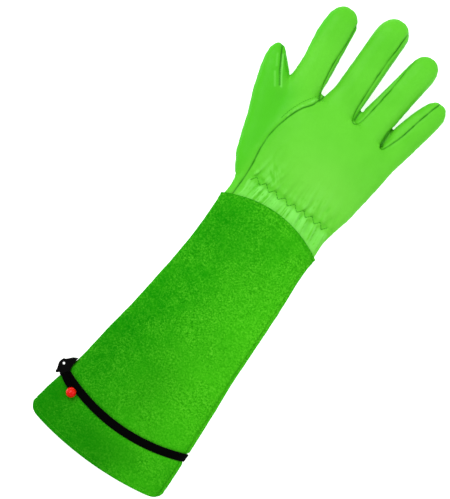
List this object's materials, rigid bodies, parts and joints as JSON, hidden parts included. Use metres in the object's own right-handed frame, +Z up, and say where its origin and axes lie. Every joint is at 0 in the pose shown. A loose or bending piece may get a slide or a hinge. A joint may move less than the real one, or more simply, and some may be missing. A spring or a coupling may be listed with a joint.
{
  "type": "rose pruning gauntlet",
  "caption": "Long pruning glove for the right hand: leather hand with set-in thumb and palm patch, gathered wrist, flared suede cuff with a strap, toggle and bead.",
  "frame": {"origin": "under the middle of the whole gauntlet, on the surface that it lies on, palm down", "axes": "+X to the little-finger side, +Y to the fingertips, +Z up from the surface, out of the back of the hand"},
  "size_m": [0.1658, 0.4848, 0.0274],
  "materials": {
    "grain_leather": "lime green grain leather, soft sheen",
    "cuff_suede": "mottled green split suede, matt nap",
    "patch_suede": "dark green speckled suede, matt nap",
    "seam_thread": "twisted sewing thread, olive green",
    "strap_webbing": "black woven tape, matt",
    "toggle_plastic": "black moulded plastic, satin",
    "bead_gloss": "red moulded plastic, glossy"
  },
  "bodies": {
    "root": {"back_panel": "grain_leather", "side_panel": "grain_leather", "palm_panel": "grain_leather", "thumb_panel": "grain_leather", "palm_patch": "patch_suede", "fourchette_index_middle": "grain_leather", "fourchette_middle_ring": "grain_leather", "fourchette_ring_little": "grain_leather", "cuff": "cuff_suede", "cuff_strap": "strap_webbing", "strap_toggle": "toggle_plastic", "strap_tail": "strap_webbing", "tail_bead": "bead_gloss"}
  },
  "joints": []
}
